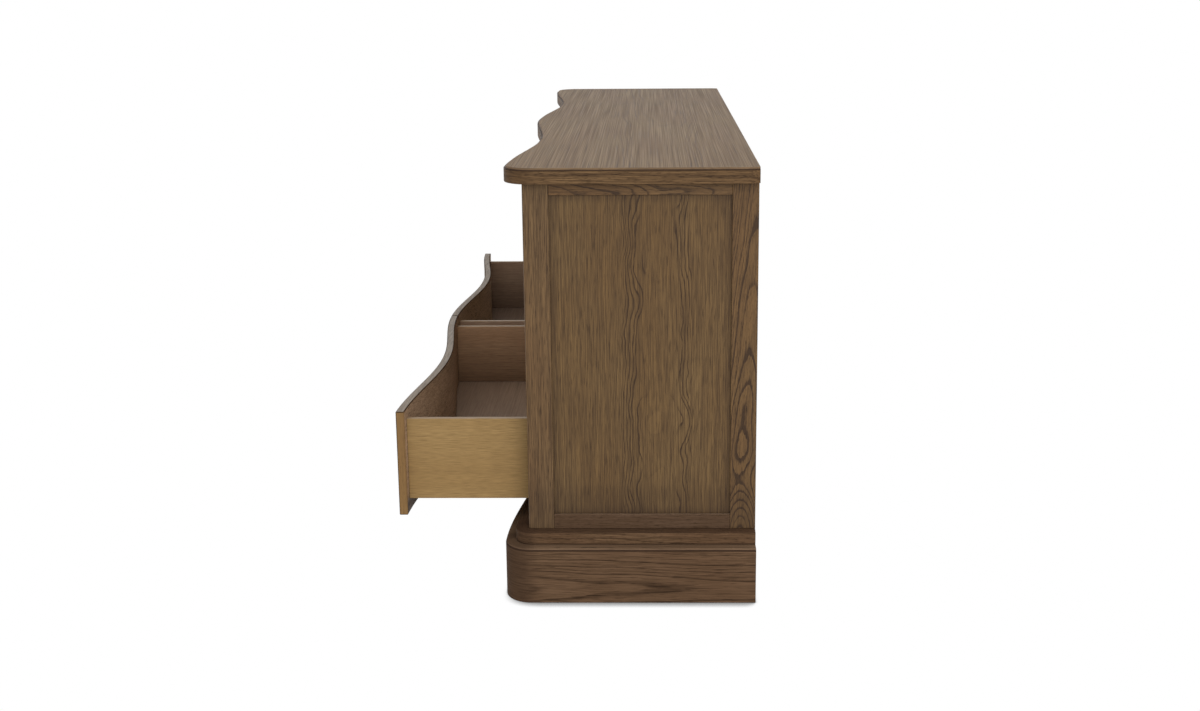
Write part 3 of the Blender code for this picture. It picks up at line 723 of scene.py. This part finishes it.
def makeTop(look):
    low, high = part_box("top_panel")
    frontY = low.y
    backY = high.y + look["spare"]
    clearSelection()
    bpy.ops.mesh.primitive_plane_add(size=1.0, location=(0, 0, 0))
    top = bpy.context.object
    top.name = "top"
    bpy.ops.object.mode_set(mode="EDIT")
    bpy.ops.transform.resize(value=(high.x - low.x, backY - frontY, 1.0))
    bpy.ops.transform.translate(value=(0, (frontY + backY) / 2, low.z))
    bpy.ops.object.mode_set(mode="OBJECT")
    for vertex in top.data.vertices:
        vertex.select = vertex.co.y < 0
    bpy.ops.object.mode_set(mode="EDIT")
    bpy.ops.mesh.select_mode(type="VERT")
    bpy.ops.mesh.bevel(
        affect="VERTICES", offset=look["cornerRadius"], segments=look["cornerCuts"],
    )
    chooseEdges(top, lambda ends: all(abs(end.y - frontY) < touching for end in ends))
    bpy.ops.mesh.subdivide(number_cuts=look["frontCuts"])
    bpy.ops.object.mode_set(mode="OBJECT")
    for vertex in top.data.vertices:
        if abs(vertex.co.y - frontY) < touching:
            vertex.co.y += setback(vertex.co.x)
    bpy.ops.object.mode_set(mode="EDIT")
    bpy.ops.mesh.select_mode(type="FACE")
    bpy.ops.mesh.select_all(action="SELECT")
    rise = high.z - low.z - look["round"]
    bpy.ops.mesh.extrude_region_move(TRANSFORM_OT_translate={"value": (0, 0, rise)})
    bpy.ops.mesh.inset(thickness=look["quirk"], depth=0.0)
    lastIn = lastUp = 0.0
    for step in range(1, look["roundSteps"] + 1):
        angle = math.pi / 2 * step / look["roundSteps"]
        inward = look["round"] * (1 - math.cos(angle))
        upward = look["round"] * math.sin(angle)
        bpy.ops.mesh.inset(thickness=inward - lastIn, depth=upward - lastUp)
        lastIn, lastUp = inward, upward
    bpy.ops.mesh.select_all(action="SELECT")
    bpy.ops.mesh.normals_make_consistent(inside=False)
    bpy.ops.mesh.bisect(
        plane_co=(0, high.y, 0), plane_no=(0, 1, 0), use_fill=True, clear_outer=True,
    )
    # Ease the lower edge, but not along the back
    chooseEdges(top, lambda ends: (
        all(abs(end.z - low.z) < touching for end in ends)
        and not all(abs(end.y - high.y) < touching for end in ends)
    ))
    bpy.ops.mesh.bevel(offset=look["underBevel"], segments=look["underCuts"])
    bpy.ops.object.mode_set(mode="OBJECT")
    top.data.materials.append(topVeneer)
    top.data.materials.append(slabEdge)
    for face in top.data.polygons:
        flat = abs(face.normal.z) > look["flatFace"] and face.area > look["broadFace"]
        face.material_index = 0 if flat else 1
    followOutline(top, high.x, look["cornerRadius"], frontY)
    smoothPiece(top)
    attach(top, "case")
    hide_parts("top_panel")


makeTop(topLook)
print("top made")


# Boards: each CAD board's copy is made whole again, its flats cleaned and its edges eased.
# Several boards become one where their ends meet at the weld.
boardLook = {"merge": 0.00002, "flatAngle": 0.05, "edgeAngle": 40, "edgeCuts": 3}


def easedBoard(nodes, pieceName, body, materials, ease, chooser=None, outline=None, weld=None):
    nodes = (nodes,) if isinstance(nodes, str) else nodes
    copies = []
    for nodeName in nodes:
        copied = bpy.data.objects.new(pieceName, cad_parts[nodeName].data.copy())
        bpy.context.scene.collection.objects.link(copied)
        copies.append(copied)
    piece = copies[0]
    pick(piece)
    for copied in copies[1:]:
        copied.select_set(True)
    if len(copies) > 1:
        bpy.ops.object.join()
    piece.name = pieceName
    if weld:
        jointY, gap = weld
        chooseFaces(piece, lambda face: all(
            abs(piece.data.vertices[i].co.y - jointY) < gap for i in face.vertices
        ))
        bpy.ops.object.mode_set(mode="EDIT")
        bpy.ops.mesh.select_mode(type="FACE")
        bpy.ops.mesh.delete(type="FACE")
        bpy.ops.mesh.select_all(action="SELECT")
        bpy.ops.mesh.remove_doubles(threshold=gap)
    bpy.ops.object.mode_set(mode="EDIT")
    bpy.ops.mesh.select_mode(type="FACE")
    bpy.ops.mesh.select_all(action="SELECT")
    bpy.ops.mesh.remove_doubles(threshold=boardLook["merge"])
    bpy.ops.mesh.dissolve_limited(angle_limit=math.radians(boardLook["flatAngle"]))
    bpy.ops.object.mode_set(mode="OBJECT")
    bevel = piece.modifiers.new("easedEdges", "BEVEL")
    bevel.width = ease
    bevel.segments = boardLook["edgeCuts"]
    bevel.limit_method = "ANGLE"
    bevel.angle_limit = math.radians(boardLook["edgeAngle"])
    bpy.ops.object.modifier_apply(modifier=bevel.name)
    piece.data.materials.clear()
    for material in materials:
        piece.data.materials.append(material)
    for face in piece.data.polygons:
        face.material_index = chooser(face) if chooser else 0
    if outline:
        followOutline(piece, *outline)
    smoothPiece(piece)
    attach(piece, body)
    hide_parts(*nodes)
    return piece


caseLook = {
    "ease": 0.0010, "panelEase": 0.0006, "mouldingEase": 0.0008,
    "ledge": 0.3,    # cosine past which a face looks up
}


# The rail below the panel gets a painted highlight on its top, a paler line
def ledgeFace(face):
    return int(face.normal.z > caseLook["ledge"])


for sideName in columnNames:
    for part in ("front_post", "back_post", "side_top_rail", "side_bottom_rail", "side_panel"):
        node = sideName + "_" + part
        pieceName = sideName + joinWords(part)
        ease = caseLook["panelEase" if part == "side_panel" else "ease"]
        woods, chooser = [sideWoods[node]], None
        if part == "side_bottom_rail":
            woods, chooser = [sideWoods[node], railTopHighlight], ledgeFace
        board = easedBoard(node, pieceName, "case", woods, ease, chooser=chooser)

# The plinth runs round in one: three boards welded where they meet
baseLook = {"plinthRadius": 0.056, "mouldingRadius": 0.034, "weld": 0.0005}
low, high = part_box("plinth_front")
jointY = high.y
outline = (high.x, baseLook["plinthRadius"], low.y)
plinth = easedBoard(
    ("plinth_front", "plinth_left", "plinth_right"), "plinth", "case", [plinthOak],
    caseLook["mouldingEase"], outline=outline, weld=(jointY, baseLook["weld"]),
)
low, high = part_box("base_moulding")
moulding = easedBoard(
    "base_moulding", "baseMoulding", "case", [mouldingOak], caseLook["mouldingEase"],
    outline=(high.x, baseLook["mouldingRadius"], low.y),
)
frontRail = easedBoard(
    "front_top_rail", "frontTopRail", "case", [frontVeneers["upper"]], caseLook["ease"],
)
backPanel = easedBoard("back_panel", "backPanel", "case", [backPly], caseLook["panelEase"])
print("case boards made")


# Drawers: the front has a veneered face, a plainer back painted paler as painted light, a band on
# its ends, a glossy top edge greyed as a painted sheen and arrises painted dark with painted shade,
# numbered in the order of its woods
veneerFace, backFace, endFace, edgeFace, arrisFace = range(5)
faceLook = {"square": 0.98, "slant": 0.25, "edge": 0.3, "inner": 0.9, "floor": 0.6}    # cosines


def frontFace(face):
    square, slant = faceLook["square"], faceLook["slant"]
    across, up = abs(face.normal.x), abs(face.normal.z)
    if face.normal.z > square:
        return edgeFace
    if across > square:
        return endFace
    if across > slant and face.normal.y > 0 and up < slant:
        return endFace
    if across > slant or slant < up < square:
        return arrisFace
    return backFace if face.normal.y > 0 else veneerFace


# Of a box board, the faces that look into the drawer (1) take the inside copy, painted light and
# painted shade, and the top edge (2) is glossy, greyed as a painted sheen
inwardWays = {"left_side": (1, 0, 0), "right_side": (-1, 0, 0), "back": (0, -1, 0)}


def insideFace(part):
    if part == "bottom":
        return lambda face: int(face.normal.z > faceLook["floor"])
    inward = Vector(inwardWays[part])
    return lambda face: (
        2 if face.normal.z > faceLook["edge"]
        else int(face.normal.dot(inward) > faceLook["inner"])
    )


# Writes how high each point of a box board lies in it, from 0 to 1
def markRise(piece):
    heights = [vertex.co.z for vertex in piece.data.vertices]
    foot, rise = min(heights), max(heights) - min(heights)
    marks = piece.data.attributes.new("boxRise", "FLOAT", "POINT")
    for mark, height in zip(marks.data, heights):
        mark.value = (height - foot) / rise


drawerLook = {"ease": 0.0018, "boxEase": 0.0012}


# The two sides that meet in the middle take the inside copy on both faces
def boxWoods(columnName):
    inside = sideInsides[columnName]
    outer, meeting = [drawerSideWood, inside, boxEdge], [inside, inside, boxEdge]
    return {
        "left_side": outer if columnName == "left" else meeting,
        "right_side": meeting if columnName == "left" else outer,
        "back": [drawerBackWood, backInside, boxEdge],
        "bottom": [drawerSideWood, bottomWoods[columnName]],
    }


# A bar pull: a disc is drawn out from one foot, swept round, run across and back, and each
# foot gets a turned plate
pullLook = {
    "radius": 0.005, "bend": 0.012, "sides": 24, "bendSteps": 10, "plateRadius": 0.0100,
    "plateDepth": 0.0030, "plateEase": 0.0012, "plateCuts": 3, "plateSides": 40,
    "merge": 0.00001, "smoothAngle": 40,
}


def makePull(nodeName, pieceName, body, look):
    low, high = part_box(nodeName)
    radius, bend = look["radius"], look["bend"]
    footY, barY, middleZ = high.y, low.y + radius, (low.z + high.z) / 2
    left, right = low.x + radius, high.x - radius
    stem = footY - barY - bend
    clearSelection()
    bpy.ops.mesh.primitive_circle_add(
        vertices=look["sides"], radius=radius, fill_type="NGON",
        location=(0, 0, 0), rotation=(0, 0, 0),
    )
    pull = bpy.context.object
    pull.name = pieceName
    pull.data.transform(
        Matrix.Translation((left, footY, middleZ)) @ Matrix.Rotation(math.pi / 2, 4, "X")
    )
    bpy.ops.object.mode_set(mode="EDIT")
    bpy.ops.mesh.select_mode(type="FACE")
    bpy.ops.mesh.select_all(action="SELECT")
    bpy.ops.mesh.extrude_region_move(TRANSFORM_OT_translate={"value": (0, -stem, 0)})
    bpy.ops.mesh.spin(
        steps=look["bendSteps"], angle=math.pi / 2, axis=(0, 0, 1),
        center=(left + bend, barY + bend, middleZ),
    )
    bpy.ops.mesh.extrude_region_move(
        TRANSFORM_OT_translate={"value": (right - left - 2 * bend, 0, 0)}
    )
    bpy.ops.mesh.spin(
        steps=look["bendSteps"], angle=math.pi / 2, axis=(0, 0, 1),
        center=(right - bend, barY + bend, middleZ),
    )
    bpy.ops.mesh.extrude_region_move(TRANSFORM_OT_translate={"value": (0, stem, 0)})
    bpy.ops.mesh.select_all(action="SELECT")
    bpy.ops.mesh.remove_doubles(threshold=look["merge"])
    bpy.ops.mesh.normals_make_consistent(inside=False)
    bpy.ops.object.mode_set(mode="OBJECT")
    plates = []
    for footX in (left, right):
        clearSelection()
        bpy.ops.mesh.primitive_cylinder_add(
            vertices=look["plateSides"], radius=look["plateRadius"], depth=look["plateDepth"],
            location=(0, 0, 0), rotation=(0, 0, 0),
        )
        plate = bpy.context.object
        centre = (footX, footY - look["plateDepth"] / 2, middleZ)
        plate.data.transform(Matrix.Translation(centre) @ Matrix.Rotation(math.pi / 2, 4, "X"))
        outer = footY - look["plateDepth"]
        bpy.ops.object.mode_set(mode="EDIT")
        chooseEdges(plate, lambda ends: all(abs(end.y - outer) < touching for end in ends))
        bpy.ops.mesh.bevel(offset=look["plateEase"], segments=look["plateCuts"])
        bpy.ops.object.mode_set(mode="OBJECT")
        plates.append(plate)
    pick(pull)
    for plate in plates:
        plate.select_set(True)
    bpy.ops.object.join()
    pull.data.materials.append(bronze)
    smoothPiece(pull, look["smoothAngle"])
    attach(pull, body)
    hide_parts(nodeName)


for rowName in rowNames:
    for columnName in columnNames:
        body = f"{rowName}_{columnName}_drawer"
        short = rowName + columnName.capitalize()
        front = easedBoard(
            body + "_front", short + "Front", body,
            [
                frontVeneers[rowName], insideWoods[rowName, columnName], frontEnd,
                frontEdges[columnName], frontArrisShade,
            ],
            drawerLook["ease"], chooser=frontFace,
        )
        for part, woods in boxWoods(columnName).items():
            board = easedBoard(
                f"{body}_{part}", short + joinWords(part), body, woods, drawerLook["boxEase"],
                chooser=insideFace(part),
            )
            markRise(board)
        makePull(body + "_pull", short + "Pull", body, pullLook)
print("drawers made")

# Boards inside the case and the back of the plinth keep their CAD shape, in their own wood
plainWoods = {
    "lower_web_frame": frameWood, "middle_web_frame": frameWood, "upper_web_frame": frameWood,
    "centre_partition": uprightWood, "centre_foot": uprightWood, "plinth_back": plinthBackOak,
}
for nodeName, wood in plainWoods.items():
    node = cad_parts[nodeName]
    node.data.materials.clear()
    node.data.materials.append(wood)
print("plain boards painted")

# Pale floor, white to the camera, that keeps a soft shadow under the plinth
floorLook = {
    "size": 60.0, "drop": 0.0004, "shadow": "#272523", "bounce": 0.60, "samples": 24,
    "shadows": (
        {"reach": 0.036, "lean": (-0.8, 0.0, 0.6), "fade": (0.165, 0.68), "dark": 0.0},
        {"reach": 0.005, "lean": (0.0, 0.0, 1.0), "fade": (0.50, 0.95), "dark": 0.50},
    ),
}


# 1 for a ray from the camera, a mirror or a clear piece
def seenRay(tree):
    rays = addNode(tree, "LightPath")
    seen = rays.outputs["Is Camera Ray"]
    for kind in ("Is Glossy Ray", "Is Transmission Ray"):
        seen = addNode(
            tree, "Math", None, {0: seen, 1: rays.outputs[kind]}, operation="MAXIMUM",
        ).outputs[0]
    return seen


def makeFloor(look):
    clearSelection()
    bpy.ops.mesh.primitive_plane_add(size=look["size"], location=(0, 0, -look["drop"]))
    floor = bpy.context.object
    floor.name = "floor"
    material = bpy.data.materials.new("paleFloor")
    material.use_nodes = True
    tree = material.node_tree
    tree.nodes.clear()
    fades = []
    for shadow in look["shadows"]:
        lean = addNode(tree, "CombineXYZ", dict(enumerate(shadow["lean"])))
        nearby = addNode(
            tree, "AmbientOcclusion", {"Distance": shadow["reach"]}, {"Normal": lean.outputs[0]},
            samples=look["samples"],
        )
        start, end = shadow["fade"]
        fades.append(addNode(
            tree, "MapRange", {1: start, 2: end, 3: shadow["dark"], 4: 1.0},
            {0: nearby.outputs["AO"]},
        ).outputs[0])
    fade = addNode(tree, "Math", None, dict(enumerate(fades)), operation="MINIMUM")
    pale = addNode(
        tree, "Mix", {6: linear(look["shadow"]), 7: (1, 1, 1, 1)}, {0: fade.outputs[0]},
        data_type="RGBA",
    )
    glow = addNode(tree, "Emission", {"Strength": 1.0}, {"Color": pale.outputs[2]})
    matt = addNode(tree, "BsdfDiffuse", {"Color": (look["bounce"],) * 3 + (1,)})
    both = addNode(
        tree, "MixShader", None, {0: seenRay(tree), 1: matt.outputs[0], 2: glow.outputs[0]},
    )
    addNode(tree, "OutputMaterial", None, {"Surface": both.outputs[0]})
    floor.data.materials.append(material)


makeFloor(floorLook)

# Soft studio light: a pale room, a broad light overhead and one beside the camera
lightLook = {
    "room": 0.95,
    "overhead": {"place": (0.6, -0.4, 3.4), "size": 3.2, "watts": 20.0, "aim": (0, 0, 0.5)},
    "camera": {"place": (3.7, 0.75, 1.8), "size": 2.2, "watts": 48.0, "aim": (0.8, 0, 0.45)},
}


def makeLight(look):
    world = bpy.data.worlds.new("studio")
    bpy.context.scene.world = world
    world.use_nodes = True
    tree = world.node_tree
    tree.nodes.clear()
    room = addNode(tree, "Background", {"Color": (1, 1, 1, 1), "Strength": look["room"]})
    white = addNode(tree, "Background", {"Color": (1, 1, 1, 1), "Strength": 1.0})
    both = addNode(
        tree, "MixShader", None, {0: seenRay(tree), 1: room.outputs[0], 2: white.outputs[0]},
    )
    addNode(tree, "OutputWorld", None, {"Surface": both.outputs[0]})
    for name in ("overhead", "camera"):
        lamp = look[name]
        bpy.ops.object.light_add(type="AREA", location=lamp["place"])
        light = bpy.context.object
        light.name = name + "Light"
        light.data.shape = "DISK"
        light.data.size = lamp["size"]
        light.data.energy = lamp["watts"]
        way = Vector(lamp["aim"]) - Vector(lamp["place"])
        light.rotation_euler = way.to_track_quat("-Z", "Y").to_euler()


makeLight(lightLook)
bpy.context.scene.view_settings.view_transform = "Standard"
print("stage and light set")
